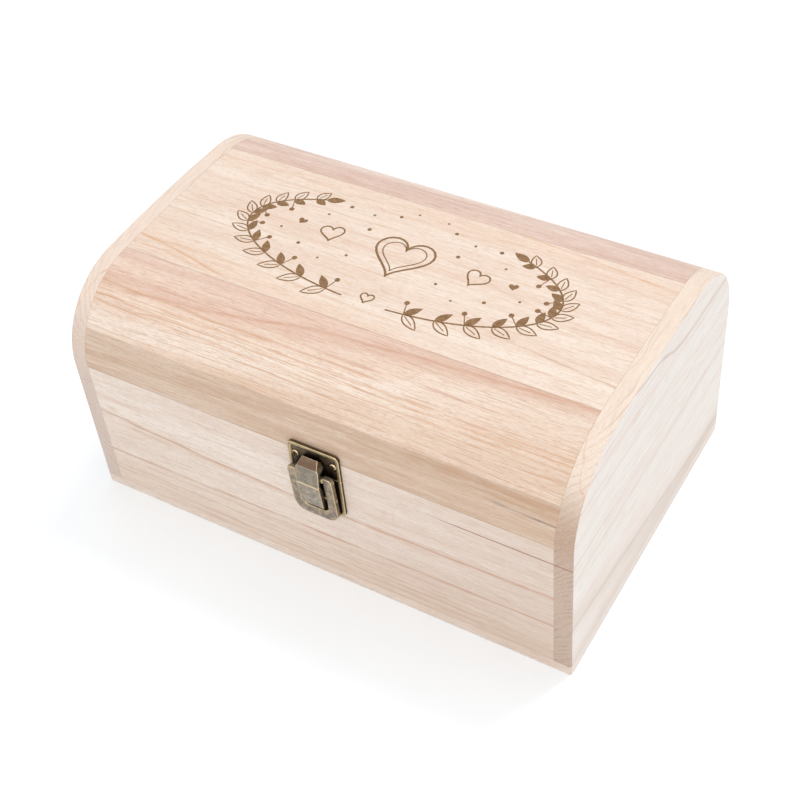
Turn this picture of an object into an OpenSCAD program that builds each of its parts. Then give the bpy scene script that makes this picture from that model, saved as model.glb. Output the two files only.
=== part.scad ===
// Keepsake box: a small wooden chest with round shoulders and a toggle latch.
// Frame: X runs left to right along the front, Y from front to rear, Z up.
// The origin is the centre of the footprint on the underside. Sizes are in millimetres.

/* [Box] */
// Width of the box over its end panels
box_w = 300; // [220:1:400]
// Depth of the box from front to rear
box_d = 195; // [150:1:260]
// Height of the base from the table to the seam
base_h = 84.5; // [70:0.5:140]
// Thickness of the front, rear, shoulder and top boards
wall_t = 9; // [8:0.5:14]
// Thickness of the end panels
end_t = 10; // [8:0.5:16]
// Thickness of the bottom board
bottom_t = 6; // [4:0.5:12]
// Radius of the eased upright corners and of the lid ends' arris
corner_r = 1.5; // [0.5:0.1:4]

/* [Lid] */
// Height of the lid from the seam to the crown
lid_h = 59.5; // [54:0.5:90]
// Radius of the round shoulders
shoulder_r = 48; // [36:1:50]
// Radius of the slightly crowned top
crown_r = 930; // [600:10:2000]
// Height of the plain strip under each shoulder stave
strip_h = 12; // [10.5:0.5:16]
// Width of the crowned top board between its two glue lines
top_w = 100; // [60:1:102]
// Place of the top board's middle, from the middle of the depth
top_y = 2.5; // [-6:0.5:6]

/* [Hinges] */
// Distance of each hinge's middle from the end of the box
hinge_inset = 65; // [60:1:95]
// Length of a hinge along the seam
hinge_w = 30; // [24:1:44]
// Height of one hinge leaf
leaf_h = 15; // [14:0.5:24]
// Thickness of a hinge leaf
leaf_t = 1; // [0.8:0.1:1.6]
// Outer radius of the hinge knuckles
knuckle_r = 2.2; // [2:0.1:3]
// Radius of the hinge pins
hinge_pin_r = 1; // [0.8:0.1:1.3]

/* [Latch] */
// Place of the latch's middle along the front, from the middle of the box
latch_x = 6.9; // [-40:0.1:40]
// Width of the strike plate and of the base plate
plate_w = 30.5; // [28:0.5:36]
// Thickness of the plates
plate_t = 1.2; // [1:0.1:1.6]
// Height of the rim above the plates
rim_h = 0.6; // [0.3:0.1:0.8]
// Width of the rim
rim_w = 1.6; // [1:0.1:1.6]
// Height of the strike plate above the seam
strike_h = 18; // [16:0.5:22]
// Height of the base plate below the seam
base_plate_h = 26.5; // [26:0.5:34]
// Outer width of the lever ring
ring_w = 26.4; // [25:0.1:29]
// Width of the opening in the lever ring
ring_open_w = 16.6; // [16:0.1:17]
// Reach of the lever ring below its pin
ring_reach = 31.7; // [30:0.1:33]
// Depth of the bar that closes the ring at the bottom
ring_bar = 6.7; // [5:0.1:8.5]
// Thickness of the lever ring
ring_t = 2.6; // [2:0.1:3]
// Lean of the closed ring towards the base plate, in degrees
ring_lean = 3.5; // [2:0.5:3.5]
// Sideways play that the ring and the tongue have taken up, from the plates' middle
ring_shift = -0.6; // [-0.9:0.1:0]
// Radius of the eyes round the ring's pin
eye_r = 1.5; // [1.4:0.1:2]
// Radius of the latch's two pins
latch_pin_r = 0.8; // [0.6:0.05:0.9]
// Width of the tongue at its ridge
tongue_w = 13.4; // [12:0.1:14]
// Width of the tongue at its lower end
tongue_low_w = 12.6; // [9:0.1:13]
// Sheet thickness of the tongue
tongue_t = 1.1; // [0.8:0.1:1.3]

/* [Screws] */
// Radius of the screw heads
head_r = 2.1; // [1.8:0.1:2.3]
// Height of the screw heads
head_h = 0.9; // [0.6:0.1:1.2]
// Radius of the screw shanks
shank_r = 1.1; // [0.8:0.1:1.4]
// Length of the screws below the head
screw_len = 7; // [5:0.5:8]
// Width of the cross recess in the screw heads
slot_w = 0.6; // [0.4:0.1:0.8]

/* [Fits] */
// Gap at the seam between the closed lid and the base
seam_gap = 0.15; // [0.1:0.05:0.6]
// Radial clearance of a part that turns on a pin
run_fit = 0.05; // [0.02:0.01:0.1]
// Radial clearance of a pin or screw in the piece that holds it
hold_fit = 0.02; // [0.01:0.01:0.05]
// Side clearance between pieces that turn past each other
side_fit = 0.3; // [0.2:0.05:0.5]

/* [Hidden] */
$fn = 64;
crown_fn = 720;
layer = 0.01;
over = 1;

// Lid profile: the crown's arc runs into the shoulder arcs without a kink
front_y = -box_d / 2;
lid_z = base_h + seam_gap;
crown_z = base_h + lid_h - crown_r;
shoulder_y = box_d / 2 - shoulder_r;
shoulder_z = crown_z + sqrt(pow(crown_r - shoulder_r, 2) - pow(shoulder_y, 2));
strip_z = base_h + strip_h;
blend_turn = atan2(shoulder_z - crown_z, shoulder_y);
inner_w = box_w - 2 * end_t;

// Hinges: the pin stands just clear of the rear face, level with the seam
hinge_x = box_w / 2 - hinge_inset;
hinge_out = knuckle_r + 0.3;
hinge_z = base_h + seam_gap / 2;
knuckle_w = hinge_w / 3;
leaf_corner = 1.5;
leaf_screw_x = hinge_w / 2 - 5;
leaf_screw_drop = leaf_h - 5;

// Latch: heights are measured from the table, z stands out from the front face
rim_top = plate_t + rim_h;
ring_pin_y = base_h + 2;
ring_pin_z = rim_top + 3.5;
ring_tip = 2.8;
ring_tip_corner = 2.4;
ring_corner = 7;
ring_open_corner = 4;
barrel_r = 1.7;
barrel_w = ring_open_w + 2 * ring_shift - 2 * side_fit;
ridge_y = base_h - 2;
ridge_z = 9;
brow_y = base_h + 9.5;
brow_z = 7.7;
tongue_top_y = base_h + 13.2;
tongue_low_y = base_h - 19.5;
tongue_low_z = 7.2;
tongue_pin_y = base_h - 12.5;
tongue_pin_z = ring_pin_z - (ring_pin_y - tongue_pin_y) * tan(ring_lean);
lip_z = 3.6;
nose_z = lip_z - 0.4;
nose_w = 7;
strike_screw_x = 11.3;
strike_screw_y = base_h + 10;
plate_screw_x = 8;
plate_screw_up = 6.5;
plate_screw_y = base_h - base_plate_h + plate_screw_up;
plate_corner = 3;

// Places a child on the front face: x right, y up, z out of the wood
module on_front() {
    translate([latch_x, front_y, 0]) rotate([90, 0, 0]) children();
}

// Places a child on the front face in line with the ring and the tongue
module on_lever() {
    on_front() translate([ring_shift, 0, 0]) children();
}

// Places a child on the rear face at x, with y up and z out of the wood
module on_rear(x) {
    translate([x, box_d / 2, 0]) rotate([90, 0, 180]) children();
}

// Extrudes a side outline drawn as [out, up] to a width centred on the latch
module across(width) {
    rotate([0, -90, 0]) linear_extrude(width, center = true) children();
}

// Extrudes an outline drawn as [depth, height] along the box from x
module along(x, length) {
    translate([x, 0, 0]) rotate([90, 0, 90]) linear_extrude(length) children();
}

// Closed outline of the lid seen from its end, drawn inside the outside face by inset
module lid_outline(inset) {
    intersection() {
        union() {
            translate([front_y + inset, lid_z]) square([box_d - 2 * inset, shoulder_z - lid_z]);
            for (side = [-1, 1])
                translate([side * shoulder_y, shoulder_z]) circle(shoulder_r - inset);
            intersection() {
                translate([0, crown_z]) circle(crown_r - inset, $fn = crown_fn);
                crown_wedge();
            }
        }
        translate([front_y, lid_z]) square([box_d, lid_h]);
    }
}

// Wedge from the crown's centre through both shoulder centres
module crown_wedge() {
    reach = 1.2;
    rise = reach * (shoulder_z - crown_z);
    polygon([
        [0, crown_z],
        [reach * shoulder_y, crown_z + rise],
        [-reach * shoulder_y, crown_z + rise]
    ]);
}

// Band of the lid between its outside and inside faces
module lid_band() {
    difference() {
        lid_outline(0);
        lid_outline(wall_t);
        translate([front_y + wall_t, lid_z - over]) square([box_d - 2 * wall_t, 2 * over]);
    }
}

// Region of the front or rear strip below the shoulder stave
module strip_region(side) {
    near = side < 0 ? front_y - over : 0;
    translate([near, lid_z - over]) square([box_d / 2 + over, strip_z - lid_z + over]);
}

// Region of the top board between its glue lines
module top_region() {
    translate([top_y - top_w / 2, strip_z]) square([top_w, lid_h]);
}

// Region of a shoulder stave, from the strip round to the top board
module stave_region(side) {
    near = side < 0 ? front_y - over : top_y + top_w / 2;
    far = side < 0 ? top_y - top_w / 2 : box_d / 2 + over;
    translate([near, strip_z]) square([far - near, lid_h]);
}

// Pan head wood screw along z, with its head above the plane z = 0
module wood_screw() {
    dome_r = (head_r * head_r + head_h * head_h) / (2 * head_h);
    translate([0, 0, -screw_len]) cylinder(r = shank_r, h = screw_len + head_h / 3);
    difference() {
        intersection() {
            translate([0, 0, head_h - dome_r]) sphere(dome_r);
            cylinder(r = head_r, h = head_h);
        }
        for (turn = [0, 90])
            rotate([0, 0, turn]) translate([-head_r * 0.6, -slot_w / 2, head_h / 3])
                cube([head_r * 1.2, slot_w, head_h]);
    }
}

// Pilot hole for a wood screw whose head seats at height seat
module pilot(seat) {
    translate([0, 0, seat - screw_len - hold_fit])
        cylinder(r = shank_r + hold_fit, h = screw_len + 2 * over);
}

module strike_screw_places() {
    for (side = [-1, 1]) translate([side * strike_screw_x, strike_screw_y, 0]) children();
}

module plate_screw_places() {
    for (side = [-1, 1]) translate([side * plate_screw_x, plate_screw_y, 0]) children();
}

// Screws of the hinge leaves: up is 1 on the lid and -1 on the base
module leaf_screw_places(up) {
    for (side = [-1, 1])
        translate([side * leaf_screw_x, hinge_z + up * leaf_screw_drop, 0]) children();
}

module hinge_places() {
    for (side = [-1, 1]) on_rear(side * hinge_x) children();
}

module bottom_board() {
    color("BurlyWood")
        linear_extrude(bottom_t) footprint();
}

// Plan of the box with its eased upright corners
module footprint() {
    square([box_w, box_d - 2 * corner_r], center = true);
    square([box_w - 2 * corner_r, box_d], center = true);
    for (sx = [-1, 1], sy = [-1, 1])
        translate([sx * (box_w / 2 - corner_r), sy * (box_d / 2 - corner_r)]) circle(corner_r);
}

// End panel of the base on the left (-1) or right (1)
module base_end(side) {
    near = side < 0 ? -box_w / 2 - over : box_w / 2 - end_t;
    translate([0, 0, bottom_t])
        linear_extrude(base_h - bottom_t)
            intersection() {
                footprint();
                translate([near, front_y - over]) square([end_t + over, box_d + 2 * over]);
            }
}

module base_left_end() {
    color("Wheat") base_end(-1);
}

module base_right_end() {
    color("Wheat") base_end(1);
}

module base_front_board() {
    color("AntiqueWhite")
        difference() {
            translate([-inner_w / 2, front_y, bottom_t]) cube([inner_w, wall_t, base_h - bottom_t]);
            on_front() plate_screw_places() pilot(plate_t);
        }
}

module base_rear_board() {
    color("AntiqueWhite")
        difference() {
            translate([-inner_w / 2, -front_y - wall_t, bottom_t])
                cube([inner_w, wall_t, base_h - bottom_t]);
            hinge_places() leaf_screw_places(-1) pilot(leaf_t);
        }
}

// Points on an arc about [y, z] from one turn to another, without its first point
function arc_points(y, z, r, from, to, steps) = [
    for (step = [1:steps])
        let (turn = from + (to - from) * step / steps)
            [y + r * cos(turn), z + r * sin(turn)]
];

// Points of the lid's outline as [depth, height], drawn inside the outside face by inset
function lid_points(inset) = concat(
    [[box_d / 2 - inset, lid_z], [box_d / 2 - inset, shoulder_z]],
    arc_points(shoulder_y, shoulder_z, shoulder_r - inset, 0, blend_turn, 24),
    arc_points(0, crown_z, crown_r - inset, blend_turn, 180 - blend_turn, 12),
    arc_points(-shoulder_y, shoulder_z, shoulder_r - inset, 180 - blend_turn, 180, 24),
    [[inset - box_d / 2, lid_z]]
);

// End panel of the lid on the left (-1) or right (1), rounded along its outer arris
module lid_end(side) {
    steps = 4;
    count = len(lid_points(0));
    turns = [for (step = [0:steps]) 90 * step / steps];
    insets = concat([for (turn = turns) corner_r * (1 - sin(turn))], 0);
    depths = concat([for (turn = turns) corner_r * (1 - cos(turn))], end_t);
    mirror([side > 0 ? 1 : 0, 0, 0])
        translate([-box_w / 2, 0, 0])
            polyhedron(
                points = [for (k = [0:steps + 1], p = lid_points(insets[k])) [depths[k], p[0], p[1]]],
                faces = concat(
                    [[for (i = [0:count - 1]) i]],
                    [[for (i = [1:count]) (steps + 2) * count - i]],
                    [for (k = [0:steps], i = [0:count - 1])
                        let (near = k * count, next = (i + 1) % count)
                            [near + i, near + count + i, near + count + next, near + next]]
                )
            );
}

module lid_left_end() {
    color("Wheat") lid_end(-1);
}

module lid_right_end() {
    color("Wheat") lid_end(1);
}

module lid_front_strip() {
    color("AntiqueWhite")
        difference() {
            along(-inner_w / 2, inner_w) intersection() {
                lid_band();
                strip_region(-1);
            }
            on_front() strike_screw_places() pilot(plate_t);
        }
}

module lid_front_stave() {
    color("RosyBrown")
        difference() {
            along(-inner_w / 2, inner_w) intersection() {
                lid_band();
                stave_region(-1);
            }
            on_front() strike_screw_places() pilot(plate_t);
        }
}

module lid_top_board() {
    color("BlanchedAlmond")
        along(-inner_w / 2, inner_w) intersection() {
            lid_band();
            top_region();
        }
}

module lid_rear_stave() {
    color("RosyBrown")
        difference() {
            along(-inner_w / 2, inner_w) intersection() {
                lid_band();
                stave_region(1);
            }
            hinge_places() leaf_screw_places(1) pilot(leaf_t);
        }
}

module lid_rear_strip() {
    color("AntiqueWhite")
        difference() {
            along(-inner_w / 2, inner_w) intersection() {
                lid_band();
                strip_region(1);
            }
            hinge_places() leaf_screw_places(1) pilot(leaf_t);
        }
}

// Plate outline from the seam edge, with its far corners rounded; up is 1 or -1
module plate_outline(height, up, inset) {
    width = plate_w - 2 * inset;
    round_r = plate_corner - inset / 2;
    far = height - inset;
    translate([-width / 2, up > 0 ? 0 : -(far - round_r)]) square([width, far - round_r]);
    translate([-width / 2 + round_r, up > 0 ? 0 : -far]) square([width - 2 * round_r, far]);
    for (side = [-1, 1])
        translate([side * (width / 2 - round_r), up * (far - round_r)]) circle(round_r);
}

// Plate with a rim round its two sides and its far edge
module rimmed_plate(height, up) {
    linear_extrude(plate_t) plate_outline(height, up, 0);
    linear_extrude(rim_top)
        difference() {
            plate_outline(height, up, 0);
            plate_outline(height, up, rim_w);
        }
}

module strike_plate() {
    color("DarkKhaki") on_front() {
        difference() {
            translate([0, lid_z, 0]) rimmed_plate(strike_h, 1);
            strike_screw_places() pilot(plate_t);
        }
        strike_nose();
    }
}

// Upturned nose on the strike plate that the tongue's lip pulls down on
module strike_nose() {
    low = base_h + 4.5;
    high = tongue_top_y - 2.4 * tongue_t;
    sheet = 1.2;
    across(nose_w) {
        translate([plate_t - 0.2, low]) square([nose_z - plate_t + 0.2 - sheet, sheet + 0.6]);
        translate([nose_z - sheet, low + sheet]) square([sheet, high - low - 1.5 * sheet]);
        translate([nose_z - sheet, low + sheet]) circle(sheet);
        translate([nose_z - sheet / 2, high - sheet / 2]) circle(sheet / 2);
    }
}

module strike_screws() {
    color("DarkKhaki") on_front() strike_screw_places() translate([0, 0, plate_t]) wood_screw();
}

module latch_base_plate() {
    color("DarkKhaki") on_front()
        difference() {
            union() {
                translate([0, base_h, 0]) rimmed_plate(base_plate_h, -1);
                across(barrel_w) union() {
                    translate([ring_pin_z, ring_pin_y]) circle(barrel_r);
                    polygon([
                        [plate_t - 0.2, base_h - 6.5],
                        [ring_pin_z + barrel_r * 0.7, ring_pin_y - barrel_r * 0.7],
                        [ring_pin_z - barrel_r * 0.7, ring_pin_y + barrel_r * 0.5],
                        [plate_t - 0.2, base_h - 4]
                    ]);
                }
            }
            across(plate_w) translate([ring_pin_z, ring_pin_y]) circle(latch_pin_r + hold_fit);
            plate_screw_places() pilot(plate_t);
        }
}

module latch_base_screws() {
    color("DarkKhaki") on_front() plate_screw_places() translate([0, 0, plate_t]) wood_screw();
}

module latch_ring_pin() {
    color("DarkKhaki") on_lever()
        across(ring_w - 0.6) translate([ring_pin_z, ring_pin_y]) circle(latch_pin_r);
}

// Front outline of the ring lever with rounded tips and rounded lower corners
module ring_outline() {
    low = ring_pin_y - ring_reach;
    top = ring_pin_y + ring_tip;
    square_low = low + ring_corner;
    translate([-ring_w / 2, square_low]) square([ring_w, top - ring_tip_corner - square_low]);
    translate([-ring_w / 2 + ring_corner, low]) square([ring_w - 2 * ring_corner, ring_reach]);
    translate([-ring_w / 2 + ring_tip_corner, square_low])
        square([ring_w - 2 * ring_tip_corner, top - square_low]);
    for (side = [-1, 1]) {
        translate([side * (ring_w / 2 - ring_corner), square_low]) circle(ring_corner);
        translate([side * (ring_w / 2 - ring_tip_corner), top - ring_tip_corner])
            circle(ring_tip_corner);
    }
}

// Opening of the ring lever
module ring_opening() {
    low = ring_pin_y - ring_reach + ring_bar;
    round_r = ring_open_corner;
    translate([-ring_open_w / 2, low + round_r]) square([ring_open_w, ring_reach + ring_tip]);
    translate([-ring_open_w / 2 + round_r, low]) square([ring_open_w - 2 * round_r, 2 * round_r]);
    for (side = [-1, 1])
        translate([side * (ring_open_w / 2 - round_r), low + round_r]) circle(round_r);
}

// Lays a child that is drawn about the ring's pin at its place, leaning towards the plate
module on_ring() {
    translate([0, ring_pin_y, ring_pin_z]) rotate([ring_lean, 0, 0])
        translate([0, -ring_pin_y, 0]) children();
}

module latch_ring() {
    color("DarkKhaki") on_lever()
        difference() {
            union() {
                on_ring() translate([0, 0, -ring_t / 2]) linear_extrude(ring_t) ring_outline();
                across(ring_w) translate([ring_pin_z, ring_pin_y]) circle(eye_r);
            }
            on_ring() translate([0, 0, -ring_t]) linear_extrude(3 * ring_t) ring_opening();
            for (bore = [[ring_pin_z, ring_pin_y, run_fit], [tongue_pin_z, tongue_pin_y, hold_fit]])
                across(ring_w + 2 * over) translate([bore[0], bore[1]])
                    circle(latch_pin_r + bore[2]);
        }
}

module latch_tongue_pin() {
    color("DarkKhaki") on_lever()
        across(ring_w - 0.6) translate([tongue_pin_z, tongue_pin_y]) circle(latch_pin_r);
}

// Side outline of the tongue as [out, up]
module tongue_side() {
    rear_z = tongue_pin_z - 1.6;
    clear_z = ring_pin_z + barrel_r + side_fit;
    polygon([
        [lip_z, tongue_top_y],
        [brow_z, brow_y],
        [ridge_z, ridge_y],
        [tongue_low_z, tongue_low_y + 0.8],
        [tongue_low_z - 1.2, tongue_low_y],
        [rear_z, tongue_low_y + 1.3],
        [rear_z, tongue_pin_y + 3],
        [clear_z, ring_pin_y - 4.5],
        [clear_z, ring_pin_y + 3],
        [rim_top + side_fit, ring_pin_y + 5.5],
        [rim_top + side_fit, tongue_top_y - 2]
    ]);
}

// Side outline of the hollow behind the tongue's face
module tongue_hollow() {
    t = tongue_t;
    polygon([
        [-over, tongue_top_y + over],
        [lip_z - layer, tongue_top_y + over],
        [lip_z - layer, tongue_top_y - 2 * t],
        [lip_z + 0.6, tongue_top_y - 1.6 * t],
        [brow_z - t, brow_y - t],
        [ridge_z - t, ridge_y],
        [tongue_low_z - t, tongue_low_y + 2.4],
        [-over, tongue_low_y + 2.4]
    ]);
}

// Front outline of the tongue, drawn inside its edge by inset
module tongue_front(inset) {
    half = tongue_w / 2 - inset;
    half_low = tongue_low_w / 2 - inset;
    clip = 2.6;
    polygon([
        [-half, ridge_y],
        [-half, tongue_top_y - 2 * clip],
        [-half + clip, tongue_top_y + over],
        [half - clip, tongue_top_y + over],
        [half, tongue_top_y - 2 * clip],
        [half, ridge_y],
        [half_low, tongue_low_y - over],
        [-half_low, tongue_low_y - over]
    ]);
}

module latch_tongue() {
    color("DarkKhaki") on_lever()
        difference() {
            intersection() {
                across(tongue_w) tongue_side();
                linear_extrude(ridge_z + over) tongue_front(0);
            }
            intersection() {
                across(tongue_w) tongue_hollow();
                translate([0, 0, -over]) linear_extrude(ridge_z + 2 * over) tongue_front(tongue_t);
            }
            across(tongue_w + 2 * over)
                translate([tongue_pin_z, tongue_pin_y]) circle(latch_pin_r + run_fit);
        }
}

// Outline of a hinge leaf with its far corners rounded; up is 1 or -1
module leaf_outline(up) {
    translate([-hinge_w / 2, up > 0 ? 0 : -(leaf_h - leaf_corner)])
        square([hinge_w, leaf_h - leaf_corner]);
    translate([-hinge_w / 2 + leaf_corner, up > 0 ? 0 : -leaf_h])
        square([hinge_w - 2 * leaf_corner, leaf_h]);
    for (side = [-1, 1])
        translate([side * (hinge_w / 2 - leaf_corner), up * (leaf_h - leaf_corner)])
            circle(leaf_corner);
}

// Hinge leaf with its rolled knuckles; the lid's leaf (1) has the middle one
module hinge_leaf(up) {
    spans = up > 0 ? [0] : [-1, 1];
    bore_fit = up > 0 ? run_fit : hold_fit;
    start = knuckle_r + side_fit;
    difference() {
        union() {
            difference() {
                translate([0, hinge_z, 0]) linear_extrude(leaf_t) leaf_outline(up);
                translate([-hinge_w, up > 0 ? hinge_z - over : hinge_z - start, -over])
                    cube([2 * hinge_w, start + over, leaf_t + 2 * over]);
            }
            for (span = spans)
                translate([span * knuckle_w, 0, 0]) across(knuckle_w - side_fit) {
                    translate([hinge_out, hinge_z]) circle(knuckle_r);
                    translate([0, up > 0 ? hinge_z : hinge_z - start - over])
                        square([leaf_t, start + over]);
                    translate([0, hinge_z - leaf_t / 2]) square([hinge_out, leaf_t]);
                }
        }
        across(hinge_w + 2 * over) translate([hinge_out, hinge_z]) circle(hinge_pin_r + bore_fit);
        leaf_screw_places(up) pilot(leaf_t);
    }
}

// Hinge pin with a small head at each end
module hinge_pin() {
    head_len = 0.8;
    across(hinge_w) translate([hinge_out, hinge_z]) circle(hinge_pin_r);
    for (side = [-1, 1])
        translate([side * (hinge_w + head_len) / 2, 0, 0])
            across(head_len) translate([hinge_out, hinge_z]) circle(hinge_pin_r + 0.4);
}

module hinge_left_base_leaf() {
    color("DarkKhaki") on_rear(-hinge_x) hinge_leaf(-1);
}

module hinge_right_base_leaf() {
    color("DarkKhaki") on_rear(hinge_x) hinge_leaf(-1);
}

module hinge_left_lid_leaf() {
    color("DarkKhaki") on_rear(-hinge_x) hinge_leaf(1);
}

module hinge_right_lid_leaf() {
    color("DarkKhaki") on_rear(hinge_x) hinge_leaf(1);
}

module hinge_left_pin() {
    color("DarkKhaki") on_rear(-hinge_x) hinge_pin();
}

module hinge_right_pin() {
    color("DarkKhaki") on_rear(hinge_x) hinge_pin();
}

module hinge_base_screws() {
    color("DarkKhaki") hinge_places() leaf_screw_places(-1) translate([0, 0, leaf_t]) wood_screw();
}

module hinge_lid_screws() {
    color("DarkKhaki") hinge_places() leaf_screw_places(1) translate([0, 0, leaf_t]) wood_screw();
}

bottom_board();
base_front_board();
base_rear_board();
base_left_end();
base_right_end();
lid_left_end();
lid_right_end();
lid_front_strip();
lid_front_stave();
lid_top_board();
lid_rear_stave();
lid_rear_strip();
latch_base_plate();
latch_base_screws();
latch_ring_pin();
latch_ring();
latch_tongue_pin();
latch_tongue();
strike_plate();
strike_screws();
hinge_left_base_leaf();
hinge_right_base_leaf();
hinge_left_lid_leaf();
hinge_right_lid_leaf();
hinge_left_pin();
hinge_right_pin();
hinge_base_screws();
hinge_lid_screws();
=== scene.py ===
import math

import bpy
from mathutils import Matrix, Vector


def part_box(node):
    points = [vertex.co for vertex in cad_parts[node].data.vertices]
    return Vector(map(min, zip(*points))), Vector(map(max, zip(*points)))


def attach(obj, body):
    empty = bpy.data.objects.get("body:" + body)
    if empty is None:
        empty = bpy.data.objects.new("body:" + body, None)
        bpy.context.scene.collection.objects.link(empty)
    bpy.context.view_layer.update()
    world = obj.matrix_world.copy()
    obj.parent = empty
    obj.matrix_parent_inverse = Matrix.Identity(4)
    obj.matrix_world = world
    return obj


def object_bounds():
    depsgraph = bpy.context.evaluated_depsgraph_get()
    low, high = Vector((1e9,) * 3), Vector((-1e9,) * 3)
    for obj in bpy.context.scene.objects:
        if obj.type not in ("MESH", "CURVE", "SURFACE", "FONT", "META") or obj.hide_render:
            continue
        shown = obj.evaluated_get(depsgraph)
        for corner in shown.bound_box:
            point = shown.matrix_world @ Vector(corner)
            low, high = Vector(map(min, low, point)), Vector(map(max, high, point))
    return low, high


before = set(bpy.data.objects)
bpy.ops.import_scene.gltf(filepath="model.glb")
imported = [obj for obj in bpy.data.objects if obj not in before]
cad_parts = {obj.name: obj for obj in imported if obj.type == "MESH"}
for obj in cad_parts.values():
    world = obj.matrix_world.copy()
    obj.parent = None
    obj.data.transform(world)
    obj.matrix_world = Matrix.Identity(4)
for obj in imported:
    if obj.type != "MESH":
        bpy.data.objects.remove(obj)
cad_low, cad_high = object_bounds()
scene = bpy.context.scene
scene.view_settings.view_transform = "Standard"

# Sizes read from the frame, in metres
BOX_W = 2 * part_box("lid_right_end")[1][0]
FRONT_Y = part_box("base_front_board")[0][1]
REAR_Y = -FRONT_Y
CROWN_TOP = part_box("lid_top_board")[1][2]
BASE_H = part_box("base_front_board")[1][2]
TOP_FRONT_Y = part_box("lid_top_board")[0][1]
TOP_REAR_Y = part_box("lid_top_board")[1][1]
SHOULDER_R = 0.048
CROWN_R = 0.930
END_T = BOX_W / 2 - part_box("lid_top_board")[1][0]
CROWN_Z = CROWN_TOP - CROWN_R
SHOULDER_Y = REAR_Y - SHOULDER_R
SHOULDER_Z = CROWN_Z + math.sqrt((CROWN_R - SHOULDER_R) ** 2 - SHOULDER_Y ** 2)
SHOULDER_TURN = math.atan2(SHOULDER_Z - CROWN_Z, SHOULDER_Y)
GLUE_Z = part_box("lid_front_strip")[1][2]
HEADS_LOW, HEADS_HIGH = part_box("strike_screws")

# Places for the materials, in millimetres
MM = 1000
HALF_W = BOX_W * MM / 2
PANEL_X = HALF_W - END_T * MM
FRONT = FRONT_Y * MM
SEAM = BASE_H * MM
GLUE = GLUE_Z * MM
RIDGE = SEAM - 2.0
BROW = SEAM + 9.5
RIM_CREST = FRONT - 1.6
TONGUE_FACE = FRONT - 5.6
HEADS_X = (HEADS_LOW[0] + HEADS_HIGH[0]) * MM / 2
HEADS_Z = (HEADS_LOW[2] + HEADS_HIGH[2]) * MM / 2
HEADS_OUT = (HEADS_HIGH[0] - HEADS_LOW[0] - HEADS_HIGH[2] + HEADS_LOW[2]) * MM / 2


def srgb(r, g, b):
    """Linear colour of an sRGB colour given as 0 to 255."""
    def one(v):
        v /= 255
        return v / 12.92 if v <= 0.04045 else ((v + 0.055) / 1.055) ** 2.4
    return (one(r), one(g), one(b), 1.0)


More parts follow.
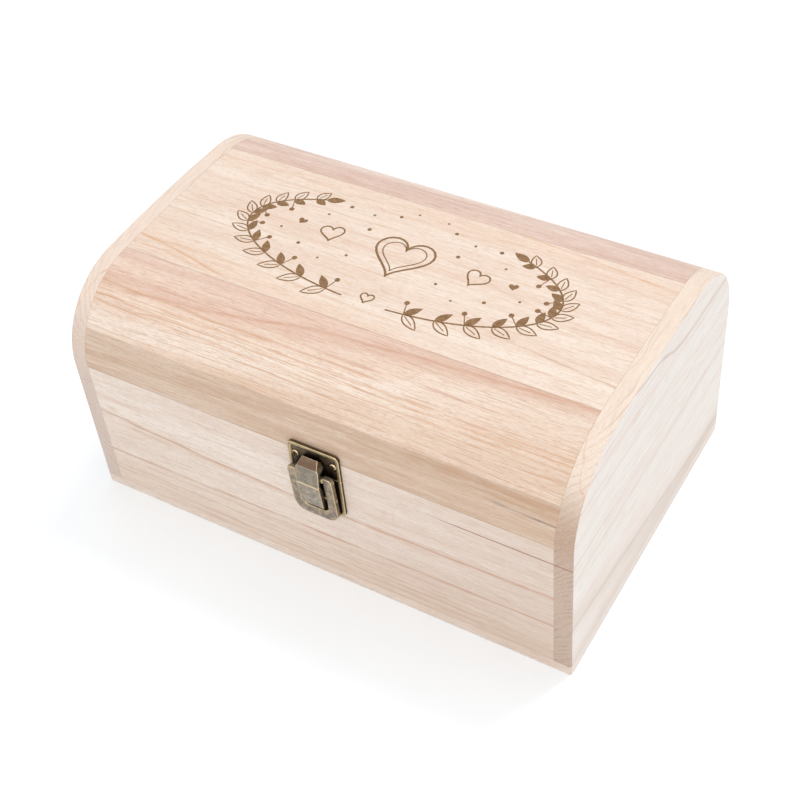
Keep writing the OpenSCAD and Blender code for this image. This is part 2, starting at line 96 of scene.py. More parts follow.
class Shader:
    """Builds one procedural material; numbers and sockets are both taken as inputs."""

    def __init__(self, name):
        self.material = bpy.data.materials.new(name)
        self.material.use_nodes = True
        self.tree = self.material.node_tree
        self.tree.nodes.clear()
        self.shader = self.tree.nodes.new("ShaderNodeBsdfPrincipled")
        out = self.tree.nodes.new("ShaderNodeOutputMaterial")
        self.tree.links.new(self.shader.outputs[0], out.inputs[0])
        where = self.tree.nodes.new("ShaderNodeTexCoord").outputs["Object"]
        self.millimetres = self.vector("SCALE", where, scale=MM)
        parts = self.tree.nodes.new("ShaderNodeSeparateXYZ")
        self.tree.links.new(self.millimetres, parts.inputs[0])
        self.x, self.y, self.z = parts.outputs

    def put(self, socket, value):
        if isinstance(value, bpy.types.NodeSocket):
            self.tree.links.new(value, socket)
        else:
            socket.default_value = value

    def vector(self, operation, a, b=None, scale=None):
        node = self.tree.nodes.new("ShaderNodeVectorMath")
        node.operation = operation
        self.put(node.inputs[0], a)
        if b is not None:
            self.put(node.inputs[1], b)
        if scale is not None:
            self.put(node.inputs["Scale"], scale)
        return node.outputs[0]

    def math(self, operation, a, b=None):
        node = self.tree.nodes.new("ShaderNodeMath")
        node.operation = operation
        for socket, value in zip(node.inputs, (a, b)):
            if value is not None:
                self.put(socket, value)
        return node.outputs[0]

    def add(self, *terms):
        total = terms[0]
        for term in terms[1:]:
            total = self.math("ADD", total, term)
        return total

    def times(self, a, b):
        return self.math("MULTIPLY", a, b)

    def less(self, a, b):
        return self.math("SUBTRACT", a, b)

    def step(self, value, low, high, start=0.0, end=1.0):
        """Runs smoothly from start to end while value goes from low to high."""
        node = self.tree.nodes.new("ShaderNodeMapRange")
        node.interpolation_type = "SMOOTHSTEP"
        for socket, item in zip(node.inputs, (value, low, high, start, end)):
            self.put(socket, item)
        return node.outputs[0]

    def place(self, x, y, z):
        node = self.tree.nodes.new("ShaderNodeCombineXYZ")
        for socket, value in zip(node.inputs, (x, y, z)):
            self.put(socket, value)
        return node.outputs[0]

    def noise(self, where, detail=2.0, roughness=0.5, scale=1.0):
        node = self.tree.nodes.new("ShaderNodeTexNoise")
        self.put(node.inputs["Vector"], where)
        self.put(node.inputs["Scale"], scale)
        self.put(node.inputs["Detail"], detail)
        self.put(node.inputs["Roughness"], roughness)
        return node.outputs[0]

    def stretched(self, along, across, depth, long_mm, wide_mm, seed,
                  detail=2.0, roughness=0.5):
        """Noise drawn out along the grain: cells of long_mm by wide_mm."""
        where = self.place(
            self.add(self.times(along, 1 / long_mm), seed),
            self.times(across, 1 / wide_mm),
            self.times(depth, 1 / wide_mm),
        )
        return self.noise(where, detail, roughness)

    def curve(self, value, points):
        """Height of a smooth line through a few points at value."""
        low, high = points[0][0], points[-1][0]
        bottom = min(p[1] for p in points) - 1
        top = max(p[1] for p in points) + 1
        node = self.tree.nodes.new("ShaderNodeFloatCurve")
        line = node.mapping.curves[0]
        for k, (x, y) in enumerate(points):
            spot = ((x - low) / (high - low), (y - bottom) / (top - bottom))
            if k in (0, len(points) - 1):
                line.points[0 if k == 0 else -1].location = spot
            else:
                line.points.new(*spot)
        node.mapping.update()
        self.put(node.inputs["Value"], self.times(self.less(value, low), 1 / (high - low)))
        return self.add(self.times(node.outputs[0], top - bottom), bottom)

    def bell(self, value, centre, width):
        """1 on the centre line, falling off to both sides over width."""
        far = self.times(self.less(value, centre), 1 / width)
        return self.math("POWER", math.e, self.times(self.times(far, far), -1.0))

    def waves(self, value, spacing, finer, share):
        """Sine lines at spacing, with a share of finer ones between them."""
        wide = self.math("SINE", self.times(value, 2 * math.pi / spacing))
        fine = self.math("SINE", self.times(value, 2 * math.pi / finer))
        return self.add(wide, self.times(fine, share))

    def between(self, value, low, high, soft):
        """1 from low to high, with soft ends inside that range."""
        return self.times(self.step(value, low, low + soft),
                          self.step(value, high - soft, high, 1.0, 0.0))

    def mix(self, fac, a, b, blend="MIX"):
        node = self.tree.nodes.new("ShaderNodeMix")
        node.data_type = "RGBA"
        node.blend_type = blend
        self.put(node.inputs[0], fac)
        self.put(node.inputs[6], a)
        self.put(node.inputs[7], b)
        return node.outputs[2]

    def bump(self, height, distance, strength=1.0):
        node = self.tree.nodes.new("ShaderNodeBump")
        node.inputs["Strength"].default_value = strength
        node.inputs["Distance"].default_value = distance
        self.put(node.inputs["Height"], height)
        return node.outputs[0]

    def finish(self, colour, roughness, normal=None, **constants):
        self.put(self.shader.inputs["Base Color"], colour)
        self.put(self.shader.inputs["Roughness"], roughness)
        if normal is not None:
            self.put(self.shader.inputs["Normal"], normal)
        for name, value in constants.items():
            self.put(self.shader.inputs[name.replace("_", " ")], value)
        return self.material


def girth(g, side):
    """Length round the profile from the table, over the front (-1) or from the rear (1), in mm."""
    out = g.times(g.y, side)
    turn = g.math("ARCTAN2", g.less(g.z, SHOULDER_Z * MM), g.less(out, SHOULDER_Y * MM))
    turn = g.math("MINIMUM", g.math("MAXIMUM", turn, 0.0), SHOULDER_TURN)
    flat_y = CROWN_R * MM * math.cos(SHOULDER_TURN)
    return g.add(
        g.math("MINIMUM", g.z, SHOULDER_Z * MM),
        g.times(turn, SHOULDER_R * MM),
        g.math("MAXIMUM", g.less(flat_y, out), 0.0),
    )


# What all the boards share. WOOD_SHARE: part of the light that the wood gives back.
# WOOD_BUMP: height in metres and strength. WOOD_ROUGH: roughness over the fibre's noise.
PORE = srgb(176, 140, 112)
GLUE_LINE = srgb(150, 112, 86)
PANEL_LINE = srgb(160, 122, 96)
SEAM_LINE = srgb(156, 96, 70)
WOOD_SHARE = (0.72, 0.72, 0.72, 1.0)
WOOD_BUMP = (0.00006, 0.7)
WOOD_ROUGH = (0.2, 0.8, 0.66, 0.52)
WOOD_SPECULAR = 0.35


def crack(g):
    """The stained line along the seam, on the outermost half millimetre at the front."""
    return g.times(g.bell(g.z, SEAM, 0.38), g.step(g.y, FRONT + 0.3, FRONT + 0.8, 1.0, 0.0))


def board(name, tones, across=None, side=None, seed=0.0, bands=(), streaks=(), lines=(), joint=(),
          heart=(), seam=None, dusk=None, flanks=None, ends=0.40):
    """Paulownia board with its grain along x. All lengths are in mm, and s is the girth.

    tones: pale, deeper and line colour. bands: (s points, colour, half width, strength).
    streaks: (s points, colour, half width, strength, x from, x to).
    heart: (s from, s to, two colours) of a zone of darker wood with crisp sides.
    lines: (s from, s to, spacing, colour, strength). joint: s of the glue lines.
    seam: x where the line along the seam starts. dusk: (colour, x from, x to, strength).
    flanks: colour of the sides that lie flush with the end panels. ends: strength of the
    line where the board meets the panels.
    """
    g = Shader(name)
    s = girth(g, side) if side else across(g)
    pale, deep, line = tones
    depth = g.times(g.add(g.y, g.z), 0.35)
    wander = g.times(g.less(g.stretched(g.x, s, depth, 130, 30, seed, 1.5), 0.5), 9)
    grain = g.add(s, wander)
    cloud = g.stretched(g.x, grain, depth, 150, 12, seed + 3.1, 3.0, 0.55)
    colour = g.mix(g.step(cloud, 0.36, 0.68), pale, deep)
    blot = g.stretched(g.x, s, depth, 60, 26, seed + 5.9, 2.0, 0.5)
    colour = g.mix(g.step(blot, 0.45, 0.75, 0.0, 0.35), colour, pale)
    for points, tone, width, strength in bands:
        centre = g.curve(g.x, points)
        fray = g.times(g.less(g.stretched(g.x, s, depth, 90, 5, seed + 8.3, 2.0), 0.5), 7)
        mask = g.bell(g.add(s, fray), centre, width)
        colour = g.mix(g.times(mask, strength), colour, tone)
    for s_from, s_to, pair in heart:
        zone = g.times(g.step(s, s_from - 0.3, s_from + 0.3),
                       g.step(s, s_to - 0.4, s_to + 0.4, 1.0, 0.0))
        cloudy = g.step(g.stretched(g.x, s, depth, 110, 5, seed + 12.1, 3.0), 0.36, 0.66)
        colour = g.mix(zone, colour, g.mix(cloudy, *pair))
    if dusk:
        tone, x_from, x_to, strength = dusk
        colour = g.mix(g.step(g.x, x_from, x_to, 0.0, strength), colour, tone)
    for s_from, s_to, spacing, tone, strength in lines:
        zone = g.between(s, s_from, s_to, 4)
        sway = g.less(g.stretched(g.x, s, depth, 170, 16, seed + 1.7, 2.0), 0.5)
        wave = g.waves(g.add(s, g.times(sway, 13)), spacing, spacing * 0.43, 0.6)
        broken = g.step(g.stretched(g.x, s, depth, 45, 3.0, seed + 2.6, 2.0), 0.38, 0.62)
        mask = g.times(g.times(g.step(wave, 0.55, 1.5), broken), zone)
        colour = g.mix(g.times(mask, strength), colour, tone)
    for points, tone, width, strength, x_from, x_to in streaks:
        centre = g.curve(g.x, points)
        fray = g.times(g.less(g.stretched(g.x, s, depth, 24, 3, seed + 4.4, 2.0), 0.5), 2.6)
        broken = g.step(g.stretched(g.x, s, depth, 30, 1.6, seed + 6.2, 2.0), 0.3, 0.6, 0.35, 1.0)
        mask = g.times(g.bell(g.add(s, fray), centre, width), broken)
        mask = g.times(mask, g.between(g.x, x_from, x_to, 14))
        colour = g.mix(g.times(mask, strength), colour, tone)
    if seam is not None:
        colour = g.mix(g.times(crack(g), g.step(g.x, seam, seam + 20)), colour, SEAM_LINE)
    fibre = g.stretched(g.x, s, depth, 16, 0.55, seed + 7.7, 3.0, 0.6)
    colour = g.mix(g.step(fibre, 0.3, 0.5, 0.62, 0.0), colour, line)
    colour = g.mix(g.step(fibre, 0.54, 0.72, 0.0, 0.32), colour, srgb(253, 244, 234))
    fleck = g.stretched(g.x, s, depth, 3.4, 0.5, seed + 11.3, 2.0, 0.6)
    colour = g.mix(g.step(fleck, 0.35, 0.5, 0.34, 0.0), colour, line)
    pore = g.stretched(g.x, s, depth, 3.2, 0.28, seed + 9.2, 1.0)
    pores = g.step(pore, 0.63, 0.74)
    colour = g.mix(g.times(pores, 0.28), colour, PORE)
    if flanks:
        outer = g.step(g.math("ABSOLUTE", g.x), HALF_W - 0.3, HALF_W - 0.1)
        colour = g.mix(g.times(outer, 0.8), colour, flanks)
    for where in joint:
        colour = g.mix(g.times(g.bell(s, where, 0.22), 0.55), colour, GLUE_LINE)
    end = g.step(g.math("ABSOLUTE", g.x), PANEL_X - 0.45, PANEL_X)
    colour = g.mix(g.times(end, ends), colour, PANEL_LINE)
    colour = g.mix(1.0, colour, WOOD_SHARE, "MULTIPLY")
    height = g.add(g.times(fibre, 0.6), g.times(pores, -0.8), g.times(cloud, 0.3))
    return g.finish(colour, g.step(fibre, *WOOD_ROUGH), g.bump(height, *WOOD_BUMP),
                    Specular_IOR_Level=WOOD_SPECULAR)


def end_panel(name, tones, edge_tones, seed, slant, bands, seam=0.0):
    """End panel: grain along y on its face, growth rings on its edge.

    tones: pale, deeper and line colour of the face. edge_tones: low, high, ring and warm
    colour of the edge. slant: rise of the rings over the panel's thickness.
    bands: (z points over y, colour, half width, strength). seam: strength of the seam's line.
    """
    g = Shader(name)
    pale, deep, line = tones
    edge_low, edge_high, edge_line, edge_warm = edge_tones
    inner = g.less(HALF_W, g.math("ABSOLUTE", g.x))
    sag = g.times(g.less(g.stretched(g.y, g.z, inner, 190, 60, seed, 1.0), 0.5), 16)
    level = g.add(g.z, g.times(g.y, 0.05), sag)
    cloud = g.stretched(g.y, level, inner, 160, 10, seed + 2.2, 3.0, 0.55)
    face = g.mix(g.step(cloud, 0.40, 0.72, 0.0, 0.8), pale, deep)
    wave = g.waves(level, 3.4, 1.45, 0.6)
    broken = g.step(g.stretched(g.y, level, inner, 70, 4, seed + 1.4, 2.0), 0.40, 0.64)
    high = g.step(g.z, 55, 85, 0.25, 1.0)
    face = g.mix(g.times(g.times(g.step(wave, 0.3, 1.45), broken), g.times(high, 0.6)), face, line)
    for points, tone, width, strength in bands:
        centre = g.curve(g.y, points)
        fray = g.less(g.stretched(g.y, g.z, inner, 40, 4, seed + 6.5, 2.0), 0.5)
        mask = g.bell(g.add(g.z, g.times(fray, 3)), centre, width)
        face = g.mix(g.times(mask, strength), face, tone)
    bend = g.noise(g.place(g.times(inner, 0.03), g.times(g.y, 0.012),
                           g.add(g.times(g.z, 0.022), seed)))
    ring = g.add(g.z, g.times(inner, slant), g.times(g.less(bend, 0.5), 34), g.times(g.y, 0.10))
    ring_wave = g.waves(ring, 4.3, 1.9, 0.7)
    faint = g.noise(g.place(g.times(inner, 0.1), g.times(g.y, 0.02),
                            g.add(g.times(g.z, 0.035), seed)))
    top_light = g.step(g.z, 104, 134)
    edge = g.mix(top_light, edge_low, edge_high)
    warm = g.step(g.z, 80, 100, 0.0, 0.55)
    edge = g.mix(g.times(warm, g.less(1.0, top_light)), edge, edge_warm)
    shade = g.times(g.step(ring_wave, -0.2, 1.4), g.step(faint, 0.36, 0.6, 0.2, 1.0))
    depth = g.add(g.step(g.z, 70, 90, 0.62, 0.55), g.step(g.z, 98, 112, 0.0, -0.3))
    edge = g.mix(g.times(shade, depth), edge, edge_line)
    vein_z = g.add(121, g.times(g.less(faint, 0.5), 26))
    vein = g.bell(g.add(g.z, g.times(inner, -2.2)), vein_z, 0.6)
    edge = g.mix(g.times(g.times(vein, g.step(g.z, 110, 120)), 0.55), edge, srgb(222, 172, 134))
    grit = g.noise(g.place(g.times(inner, 1.6), g.times(g.y, 0.5), g.times(g.z, 1.6)), 3.0, 0.65)
    grit = g.times(g.step(grit, 0.36, 0.52, 0.34, 0.0), g.step(top_light, 0, 1, 1.0, 0.25))
    edge = g.mix(grit, edge, edge_line)
    speck = g.noise(g.millimetres, 2.0, 0.6, 1.6)
    edge = g.mix(g.step(speck, 0.5, 0.7, 0.0, 0.22), edge, srgb(250, 240, 230))
    edge = g.mix(g.times(crack(g), seam), edge, SEAM_LINE)
    colour = g.mix(g.step(inner, 0.02, 0.35), face, edge)
    fibre = g.stretched(g.y, g.z, inner, 16, 0.55, seed + 7.7, 3.0, 0.6)
    colour = g.mix(g.step(fibre, 0.3, 0.5, 0.42, 0.0), colour, line)
    colour = g.mix(g.step(fibre, 0.56, 0.74, 0.0, 0.20), colour, srgb(253, 247, 240))
    colour = g.mix(1.0, colour, WOOD_SHARE, "MULTIPLY")
    height = g.add(g.times(fibre, 0.6), g.times(speck, 0.5))
    return g.finish(colour, g.step(fibre, *WOOD_ROUGH), g.bump(height, *WOOD_BUMP),
                    Specular_IOR_Level=WOOD_SPECULAR)


# Bronze where it is rubbed bright (BRIGHT also paints the highlight ring on the screw heads), in
# its grime, and the painted shade in its recesses
BRIGHT = srgb(230, 204, 158)
GRIME = srgb(70, 62, 50)
RECESS_SHADE = srgb(34, 22, 12)


def bronze(name, low, high, seed=0.0, wear_r=0.0009, deep_r=0.006, tongue=False, rim=False,
           heads=False):
    """Antique bronze: painted shade in the recesses, brassy where the edges are rubbed.

    wear_r and deep_r: reach of the rubbed edges and of the painted shade in the recesses, in
    metres.
    tongue, rim and heads add what only the tongue, the plates or the screw heads have; rim and
    heads also paint a shadow ring round each head, shade in the heads and a highlight ring on them.
    """
    g = Shader(name)
    blot = g.noise(g.vector("ADD", g.millimetres, (seed, seed, 0)), 3.0, 0.6, 0.32)
    colour = g.mix(g.step(blot, 0.35, 0.65), low, high)
    grime = g.noise(g.vector("ADD", g.millimetres, (seed + 9, 0, seed)), 4.0, 0.65, 1.3)
    colour = g.mix(g.step(grime, 0.48, 0.72, 0.0, 0.5), colour, GRIME)
    # Painted shade: ambient occlusion darkens the colour towards near-black brown in recesses and
    # between parts
    occlusion_shade = g.tree.nodes.new("ShaderNodeAmbientOcclusion")
    occlusion_shade.samples = 8
    occlusion_shade.inputs["Distance"].default_value = deep_r
    colour = g.mix(g.step(occlusion_shade.outputs["AO"], 0.35, 0.85, 0.95, 0.0), colour, RECESS_SHADE)
    bevel = g.tree.nodes.new("ShaderNodeBevel")
    bevel.samples = 8
    bevel.inputs["Radius"].default_value = wear_r
    plain = g.tree.nodes.new("ShaderNodeNewGeometry").outputs["Normal"]
    same = g.tree.nodes.new("ShaderNodeVectorMath")
    same.operation = "DOT_PRODUCT"
    g.put(same.inputs[0], bevel.outputs[0])
    g.put(same.inputs[1], plain)
    sharp = g.less(1.0, same.outputs["Value"])
    scratch = g.noise(g.vector("MULTIPLY", g.millimetres, (1.0, 1.0, 3.0)), 3.0, 0.7, 1.1)
    wear = g.step(sharp, 0.02, 0.14)
    if rim or heads:
        across = g.math("ABSOLUTE", g.less(g.math("ABSOLUTE", g.less(g.x, HEADS_X)), HEADS_OUT))
        height = g.math("ABSOLUTE", g.less(g.z, HEADS_Z))
        radius = g.math("SQRT", g.add(g.times(across, across), g.times(height, height)))
    if rim:
        # Painted shadow: a dark ring round each screw head on the plate
        colour = g.mix(g.times(g.bell(radius, 2.4, 0.6), 0.85), colour, srgb(34, 24, 14))
        crest = g.times(g.step(g.y, RIM_CREST, RIM_CREST + 0.3, 0.8, 0.0),
                        g.step(blot, 0.3, 0.6, 0.6, 1.0))
        colour = g.mix(crest, colour, srgb(186, 168, 130))
    if heads:
        # Painted shade: a dark dish inside each screw head, and a near-black cross slot in it
        dish_shade = g.step(radius, 1.35, 1.6, 0.8, 0.0)
        colour = g.mix(dish_shade, colour, srgb(74, 56, 38))
        cross = g.times(g.step(g.math("MINIMUM", across, height), 0.22, 0.34, 1.0, 0.0),
                        g.step(radius, 1.2, 1.35, 1.0, 0.0))
        colour = g.mix(cross, colour, srgb(24, 17, 10))
        # Painted highlight: a bright ring round each screw head's rim
        colour = g.mix(g.bell(radius, 1.85, 0.3), colour, BRIGHT)
        wear = g.times(wear, g.step(radius, 1.5, 1.7))
    if tongue:
        face = g.step(g.y, TONGUE_FACE, TONGUE_FACE + 0.6, 1.0, 0.0)
        ridge = g.times(g.bell(g.z, RIDGE, 0.45), face)
        upper = g.times(g.step(g.z, RIDGE, RIDGE + 0.6), face)
        colour = g.mix(g.times(upper, 0.45), colour, srgb(104, 98, 86))
        brow = g.times(g.step(g.z, BROW, BROW + 0.4), 0.8)
        colour = g.mix(brow, colour, srgb(112, 82, 64))
        wear = g.math("MAXIMUM", wear, ridge)
    wear = g.times(wear, g.step(scratch, 0.3, 0.5, 0.55, 1.0))
    colour = g.mix(wear, colour, BRIGHT)
    rough = g.add(g.step(grime, 0.3, 0.7, 0.32, 0.52), g.times(wear, -0.08))
    height = g.add(g.times(grime, 0.7), g.times(scratch, 0.4))
    normal = g.bump(height, 0.00008, 0.6)
    g.put(normal.node.inputs["Normal"], bevel.outputs[0])
    return g.finish(colour, rough, normal, Metallic=0.85)


def dress(material, *nodes):
    """Gives the material to CAD nodes, named as in the frame."""
    for node in nodes:
        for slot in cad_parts[node].material_slots:
            slot.material = material


# Camera at the photograph's viewing angle
camera_data = bpy.data.cameras.new("camera")
camera_data.lens = 66.51
camera_data.sensor_width = 36
camera_data.clip_start = 0.01
camera_data.dof.use_dof = False
camera = bpy.data.objects.new("camera", camera_data)
scene.collection.objects.link(camera)
AZIMUTH, ELEVATION, ROLL = (math.radians(v) for v in (34.442, 45.047, -5.938))
forward = Vector((
    -math.sin(AZIMUTH) * math.cos(ELEVATION),
    math.cos(AZIMUTH) * math.cos(ELEVATION),
    -math.sin(ELEVATION),
))
level = forward.cross(Vector((0, 0, 1))).normalized()
right = Matrix.Rotation(-ROLL, 3, forward) @ level
up = right.cross(forward)
turned = Matrix((right, up, -forward)).transposed().to_4x4()
camera.matrix_world = Matrix.Translation((0.33190, -0.49099, 0.63865)) @ turned
scene.camera = camera

# Boards
CREAM = (srgb(243, 230, 219), srgb(232, 214, 200), srgb(205, 172, 148))
BROWN_LINE = srgb(196, 152, 124)
front = dict(
    tones=CREAM,
    side=-1,
    seed=1.0,
    bands=(
        (((-150, 12), (150, 12)), srgb(226, 202, 182), 16, 0.55),
        (((-150, 44), (0, 42), (150, 44)), srgb(226, 205, 192), 6, 0.45),
        (((-150, 88), (150, 78)), srgb(232, 216, 205), 6, 0.3),
    ),
    streaks=(
        (((-150, 65.5), (-96, 60.5), (-40, 57), (40, 56.2), (150, 58.5)),
         BROWN_LINE, 1.0, 0.9, -152, 155),
        (((-150, 61), (-80, 56), (150, 54.5)), srgb(212, 178, 154), 1.6, 0.5, -130, 80),
        (((-150, 32.2), (0, 33.6), (150, 35.8)), BROWN_LINE, 0.8, 0.85, -165, 165),
        (((-150, 27), (0, 28.5), (150, 30)), srgb(212, 178, 154), 1.2, 0.4, -120, 165),
        (((-150, 20), (0, 21), (150, 18)), srgb(206, 166, 136), 0.7, 0.5, -165, 120),
        (((-150, 13), (0, 12), (150, 14)), srgb(206, 166, 136), 0.7, 0.55, -100, 165),
        (((-150, 6), (150, 8)), srgb(206, 162, 130), 0.7, 0.5, -165, 165),
    ),
    lines=((2, 30, 5.5, srgb(204, 166, 140), 0.6), (60, 96, 9, srgb(218, 192, 174), 0.45)),
)
dress(board("front_board", joint=(GLUE,), seam=70,
            dusk=(srgb(205, 182, 166), -60, 150, 0.46), **front),
      "base_front_board", "lid_front_strip")
dress(board("bottom_board", (srgb(240, 224, 211), srgb(229, 209, 194), srgb(204, 172, 148)),
            across=lambda g: g.add(g.y, g.z), seed=4.0, ends=0.0, flanks=srgb(254, 242, 234),
            lines=((-95, 100, 8, srgb(206, 172, 146), 0.4),)), "bottom_board")
dress(board(
    "front_stave",
    (srgb(247, 228, 211), srgb(238, 212, 192), srgb(200, 160, 132)),
    side=-1,
    seed=2.3,
    bands=(
        (((-150, 152), (-20, 158), (60, 166), (150, 171)), srgb(226, 190, 172), 6, 0.75),
        (((-150, 167), (0, 169), (150, 176)), srgb(226, 190, 174), 5, 0.7),
        (((-150, 157), (-40, 164), (20, 171), (150, 182)), srgb(240, 212, 194), 2.2, 0.6),
        (((-150, 120), (0, 142), (150, 152)), srgb(247, 230, 215), 5, 0.6),
        (((-150, 126), (20, 140), (70, 156), (150, 162)), srgb(249, 232, 217), 5, 0.9),
        (((-150, 100), (0, 126), (150, 131)), srgb(222, 190, 162), 7, 0.4),
    ),
    dusk=(srgb(206, 174, 146), -20, 150, 0.26),
    heart=((90, 120.8, (srgb(219, 196, 176), srgb(205, 178, 155))),),
    streaks=(
        (((-130, 146), (-60, 153), (-16, 160.5), (41, 165.5), (150, 171.5)),
         srgb(212, 164, 138), 1.0, 0.8, -130, 160),
        (((-150, 150.5), (-60, 147.5), (150, 150)), srgb(210, 160, 124), 0.7, 0.7, -165, 40),
        (((-150, 117), (60, 112), (112, 110.3), (150, 109.6)),
         srgb(92, 84, 86), 0.6, 0.9, 100, 160),
        (((-150, 119), (40, 115), (150, 113)), srgb(186, 148, 116), 0.9, 0.6, 20, 165),
        (((-150, 119), (150, 117.5)), srgb(186, 146, 112), 2.8, 0.7, 50, 165),
        (((-150, 144.5), (-90, 143.5), (0, 143), (150, 142.5)),
         srgb(214, 160, 120), 0.6, 0.65, -165, 165),
        (((-150, 141), (0, 140), (150, 140)), srgb(214, 162, 122), 0.6, 0.55, -165, 165),
        (((-150, 137.5), (0, 136), (150, 137)), srgb(216, 166, 128), 0.6, 0.5, -165, 165),
    ),
    lines=(
        (119, 149, 3.1, srgb(212, 168, 134), 0.8),
        (96, 121, 2.6, srgb(184, 150, 124), 0.5),
        (146, 173, 5.2, srgb(208, 166, 144), 0.6),
    ),
    joint=(GLUE, 172.0),
), "lid_front_stave")
dress(board(
    "top_board",
    (srgb(246, 230, 215), srgb(238, 215, 198), srgb(212, 176, 148)),
    side=-1,
    seed=6.4,
    bands=(
        (((-150, 190), (-90, 182), (150, 160)), srgb(238, 210, 188), 6, 0.6),
        (((-150, 235), (0, 240), (150, 236)), srgb(240, 216, 200), 10, 0.4),
        (((-150, 262), (0, 266), (150, 262)), srgb(243, 216, 196), 7, 0.5),
    ),
    streaks=(
        (((-150, 186), (-110, 181), (-82, 175.5), (150, 150)),
         srgb(222, 172, 132), 0.9, 0.85, -165, -70),
        (((-150, 179), (-110, 177), (-90, 174), (150, 150)),
         srgb(224, 178, 140), 0.7, 0.7, -165, -80),
        (((41, 272), (90, 268), (137, 263), (150, 262)),
         srgb(222, 172, 132), 0.6, 0.75, 34, 165),
        (((47, 229), (90, 221), (137, 216.5), (150, 216)),
         srgb(224, 190, 164), 0.6, 0.6, 40, 165),
        (((70, 196), (110, 191), (150, 187)), srgb(206, 166, 136), 0.6, 0.65, 62, 165),
        (((-150, 222), (0, 226), (150, 206)), srgb(234, 204, 182), 1.2, 0.5, -140, 120),
        (((-150, 255), (0, 258), (150, 251)), srgb(230, 196, 172), 0.9, 0.5, -140, 165),
    ),
    lines=((174, 270, 9, srgb(228, 194, 168), 0.5),),
    joint=(172.0, 272.0),
), "lid_top_board")
dress(board(
    "rear_stave",
    (srgb(247, 226, 213), srgb(226, 197, 183), srgb(196, 156, 136)),
    side=1,
    seed=8.8,
    bands=(
        (((-150, 166), (0, 164), (150, 162)), srgb(222, 190, 174), 4, 0.6),
        (((-150, 154), (150, 156)), srgb(220, 188, 174), 7, 0.5),
        (((-150, 112), (150, 116)), srgb(208, 178, 158), 9, 0.6),
    ),
    lines=((97, 172, 5, srgb(206, 168, 148), 0.65),),
    joint=(GLUE, 167.0),
), "lid_rear_stave")
rear = dict(front)
rear.update(side=1, seed=12.0, streaks=front["streaks"][2:5])
dress(board("rear_board", joint=(GLUE,), **rear), "base_rear_board", "lid_rear_strip")

# End panels
FACE_TONES = (srgb(255, 247, 240), srgb(253, 238, 229), srgb(212, 184, 166))
EDGE_RIGHT = (srgb(198, 175, 158), srgb(242, 223, 206),
              srgb(166, 130, 106), srgb(184, 150, 122))
EDGE_LEFT = (srgb(216, 198, 186), srgb(242, 222, 206),
             srgb(186, 156, 138), srgb(226, 206, 190))
dress(end_panel(
    "right_end", FACE_TONES, EDGE_RIGHT, seed=1.5, slant=0.9, seam=0.9,
    bands=(
        (((-98, 42), (-10, 22), (52, 13), (98, 10)), srgb(234, 217, 204), 9, 0.5),
        (((-98, 38), (-10, 26), (52, 16), (98, 12)), srgb(222, 198, 182), 1.4, 0.5),
        (((-98, 8), (98, 8)), srgb(232, 214, 200), 9, 0.5),
        (((-98, 160), (-29, 143), (0, 138), (27, 128), (60, 125), (98, 124)),
         srgb(214, 184, 164), 1.1, 0.6),
        (((-98, 74), (98, 70)), srgb(234, 220, 208), 1.6, 0.5),
    ),
), "base_right_end", "lid_right_end")
dress(end_panel(
    "left_end", FACE_TONES, EDGE_LEFT, seed=5.2, slant=1.1,
    bands=(
        (((-98, 30), (0, 40), (98, 36)), srgb(228, 206, 190), 9, 0.6),
        (((-98, 110), (98, 116)), srgb(232, 212, 196), 8, 0.4),
    ),
), "base_left_end", "lid_left_end")

# Hardware, with a finer reach of wear and of the painted recess shade on the screws and pins
FINE = dict(wear_r=0.0004, deep_r=0.0012)
dress(bronze("bronze", srgb(122, 113, 103), srgb(172, 154, 131)), "latch_ring")
dress(bronze("plate_bronze", srgb(70, 58, 42), srgb(106, 90, 66), 6.0, deep_r=0.009, rim=True),
      "strike_plate", "latch_base_plate")
dress(bronze("strike_screw_bronze", srgb(150, 134, 104), srgb(182, 164, 128), 2.0, heads=True,
             **FINE), "strike_screws")
dress(bronze("tongue_bronze", srgb(140, 131, 118), srgb(172, 160, 144), 3.0, tongue=True),
      "latch_tongue")
dress(bronze("screw_bronze", srgb(136, 120, 92), srgb(172, 156, 122), 5.0, **FINE),
      "latch_base_screws", "hinge_base_screws", "hinge_lid_screws",
      "latch_ring_pin", "latch_tongue_pin", "hinge_left_pin", "hinge_right_pin")
dress(bronze("hinge_bronze", srgb(112, 104, 82), srgb(142, 132, 106), 8.0),
      "hinge_left_base_leaf", "hinge_right_base_leaf", "hinge_left_lid_leaf",
      "hinge_right_lid_leaf")

# Edges of the latch that are eased by a bevel, with its width in metres
EASED = {"latch_ring": 0.0010, "latch_tongue": 0.0009, "strike_plate": 0.0004,
         "latch_base_plate": 0.0004}
for node, width in EASED.items():
    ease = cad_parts[node].modifiers.new("eased", "BEVEL")
    ease.width = width
    ease.segments = 3
    ease.limit_method = "ANGLE"
    ease.angle_limit = math.radians(40)
    ease.use_clamp_overlap = True


# Engraving on the top board: a heart between two leafy sprigs
def crown(y):
    return CROWN_Z + math.sqrt(CROWN_R ** 2 - y * y)


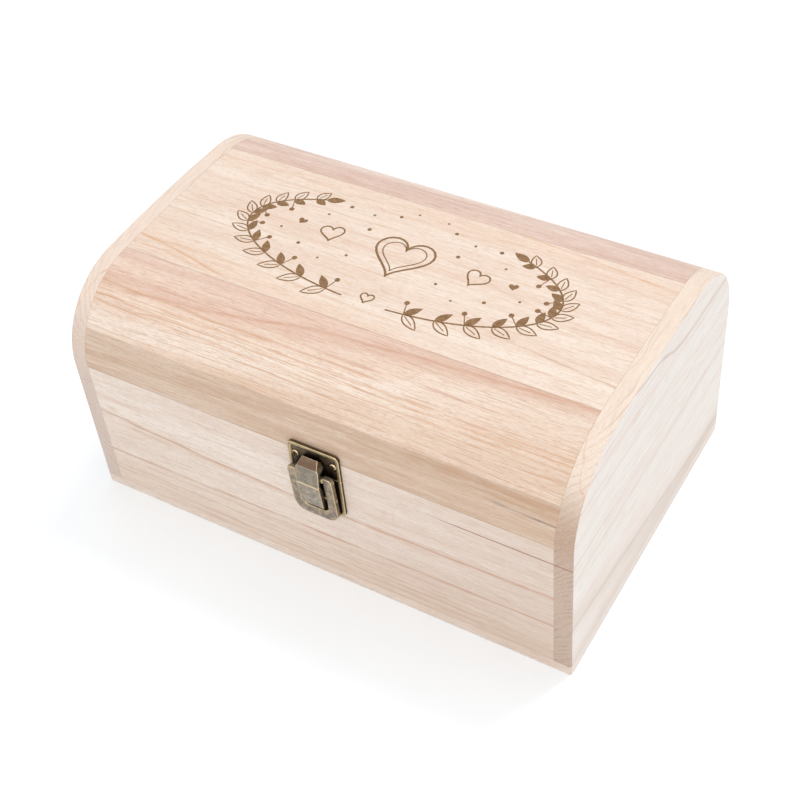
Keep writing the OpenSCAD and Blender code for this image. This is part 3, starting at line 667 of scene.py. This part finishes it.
class Engraving:
    """Collects flat marks, in mm about the middle of the top board, on the crown's surface."""

    LIFT = 0.00004
    DEEP = 0.00012

    def __init__(self):
        self.vertices, self.faces = [], []
        self.middle = (TOP_FRONT_Y + TOP_REAR_Y) / 2

    def face(self, points):
        turn = sum(a[0] * b[1] - b[0] * a[1] for a, b in zip(points, points[1:] + points[:1]))
        start = len(self.vertices)
        for x, y in points if turn > 0 else points[::-1]:
            y = self.middle + y / MM
            self.vertices.append((x / MM, y, crown(y) + self.LIFT))
        self.faces.append(tuple(range(start, len(self.vertices))))

    def fill(self, points):
        """Fills a form that all its points see from its middle."""
        x = sum(p[0] for p in points) / len(points)
        y = sum(p[1] for p in points) / len(points)
        for a, b in zip(points, points[1:] + points[:1]):
            self.face([(x, y), a, b])

    def line(self, points, width, closed=False):
        count = len(points)
        sides = []
        for k, (x, y) in enumerate(points):
            ahead = points[(k + 1) % count] if closed or k + 1 < count else points[k]
            behind = points[k - 1] if closed or k else points[k]
            dx, dy = ahead[0] - behind[0], ahead[1] - behind[1]
            far = math.hypot(dx, dy) or 1
            nx, ny = -dy / far * width / 2, dx / far * width / 2
            sides.append(((x + nx, y + ny), (x - nx, y - ny)))
        pairs = list(zip(sides, sides[1:] + sides[:1])) if closed else list(zip(sides, sides[1:]))
        for (a, b), (c, d) in pairs:
            self.face([a, b, d, c])

    def piece(self, name):
        mesh = bpy.data.meshes.new(name)
        mesh.from_pydata(self.vertices, [], self.faces)
        item = bpy.data.objects.new(name, mesh)
        scene.collection.objects.link(item)
        weld = item.modifiers.new("weld", "WELD")
        weld.merge_threshold = 0.000004
        thick = item.modifiers.new("thick", "SOLIDIFY")
        thick.thickness = self.DEEP
        thick.offset = -1
        return item


def moved(points, x, y, turn=0.0, size=1.0):
    c, s = math.cos(turn) * size, math.sin(turn) * size
    return [(x + c * a - s * b, y + s * a + c * b) for a, b in points]


def leaf_form(length, width, count=9):
    upper = [(length * k / count, width / 2 * math.sin(math.pi * (k / count) ** 0.8) ** 0.9)
             for k in range(1, count)]
    return [(0, 0)] + upper + [(length, 0)] + [(a, -b) for a, b in reversed(upper)]


def heart_form(count=40):
    turns = [2 * math.pi * k / count for k in range(count)]
    return [(16 * math.sin(t) ** 3,
             13 * math.cos(t) - 5 * math.cos(2 * t) - 2 * math.cos(3 * t) - math.cos(4 * t))
            for t in turns]


def round_form(radius, count=14):
    return [(radius * math.cos(2 * math.pi * k / count), radius * math.sin(2 * math.pi * k / count))
            for k in range(count)]


def heading(start, end):
    """Direction from start to end, in radians."""
    return math.atan2(end[1] - start[1], end[0] - start[0])


def sprig(marks, side):
    """Curved stem with paired leaves and berries; side is -1 on the left and 1 on the right."""
    def spot(turn):
        return (side * 93 * math.cos(turn), 3 + 37 * math.sin(turn))
    turns = [math.radians(-82 + 130 * k / 60) for k in range(61)]
    stem = [spot(turn) for turn in turns]
    marks.line(stem, 1.0)
    for k in range(3, 59, 5):
        x, y = stem[k]
        way = heading(stem[k], stem[k + 1])
        length = 13.5 - 0.07 * k
        for hand in (-1, 1):
            lean = way + hand * side * 0.72
            if hand < 0:
                marks.line(moved(leaf_form(length, 5.4), x, y, lean), 0.8, closed=True)
                marks.line(moved([(1.5, 0), (length * 0.7, 0)], x, y, lean), 0.55)
            else:
                marks.fill(moved(leaf_form(length * 0.8, 4.6), x, y, lean))
        if k % 10 == 3:
            bud_x, bud_y = moved([(8.5, 0)], x, y, way + side * 1.75)[0]
            marks.line([(x, y), (bud_x, bud_y)], 0.6)
            marks.fill(moved(round_form(1.5), bud_x, bud_y))
    marks.fill(moved(leaf_form(11, 5), *stem[-1], heading(stem[-2], stem[-1])))


marks = Engraving()
sprig(marks, -1)
sprig(marks, 1)
marks.line(moved(heart_form(), 0, 6, size=1.05), 1.3, closed=True)
marks.line(moved(heart_form(), 0, 6, size=0.78), 0.7, closed=True)
marks.line(moved(heart_form(24), 0, -30, size=0.24), 0.9, closed=True)
for side in (-1, 1):
    marks.line(moved(heart_form(24), side * 44, 7, turn=-side * 0.25, size=0.42), 1.0, closed=True)
    marks.fill(moved(heart_form(24), side * 64, 9, turn=side * 0.2, size=0.17))
    for x, y, size in ((27, 18, 1.2), (27, -6, 0.9), (54, 20, 0.8), (31, 30, 0.8), (17, 35, 1.1),
                       (56, -8, 1.1), (72, 0, 0.8), (40, -14, 0.7), (9, 41, 0.7), (46, 31, 1.2)):
        marks.fill(moved(round_form(size), side * x, y))
engraving = marks.piece("engraving")

burn = Shader("engraved")
soot = burn.noise(burn.millimetres, 3.0, 0.6, 0.5)
grit = burn.stretched(burn.x, burn.y, burn.z, 5, 0.5, 2.0, 2.0)
burnt = burn.mix(burn.step(soot, 0.35, 0.65), srgb(112, 84, 56), srgb(134, 104, 74))
burnt = burn.mix(burn.step(grit, 0.5, 0.7, 0.0, 0.4), burnt, srgb(160, 128, 98))
engraving.data.materials.append(burn.finish(
    burnt, burn.step(grit, 0.2, 0.8, 0.75, 0.9), burn.bump(grit, 0.00006, 0.6),
    Specular_IOR_Level=0.2))
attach(engraving, "lid")


# Floor and light
def plane(name, half, z):
    mesh = bpy.data.meshes.new(name)
    corners = [(sx * half, sy * half, z) for sx, sy in ((-1, -1), (1, -1), (1, 1), (-1, 1))]
    mesh.from_pydata(corners, [], [(0, 1, 2, 3)])
    piece = bpy.data.objects.new(name, mesh)
    scene.collection.objects.link(piece)
    return piece


floor = plane("floor", 6.0, cad_low[2] - 0.0002)
paper = Shader("floor_paper")
pulp = paper.noise(paper.millimetres, 2.0, 0.5, 0.02)
floor.data.materials.append(paper.finish(
    paper.mix(pulp, srgb(236, 239, 241), srgb(239, 242, 244)), 0.9, Specular_IOR_Level=0.1))

world = bpy.data.worlds.new("studio")
world.use_nodes = True
world.node_tree.nodes["Background"].inputs[0].default_value = (1, 1, 1, 1)
world.node_tree.nodes["Background"].inputs[1].default_value = 0.94
scene.world = world


def lamp(name, where, size, power):
    """Round area lamp that looks at the middle of the box; size in metres, power in watts."""
    look = Vector((0, 0, 0.06)) - Vector(where)
    data = bpy.data.lights.new(name, "AREA")
    data.shape = "DISK"
    data.size = size
    data.energy = power
    item = bpy.data.objects.new(name, data)
    scene.collection.objects.link(item)
    item.location = where
    item.rotation_euler = look.to_track_quat("-Z", "Y").to_euler()


lamp("key", (0.35, 1.1, 1.8), 0.9, 18)
lamp("fill", (0.5, -1.6, 1.1), 1.2, 16.5)
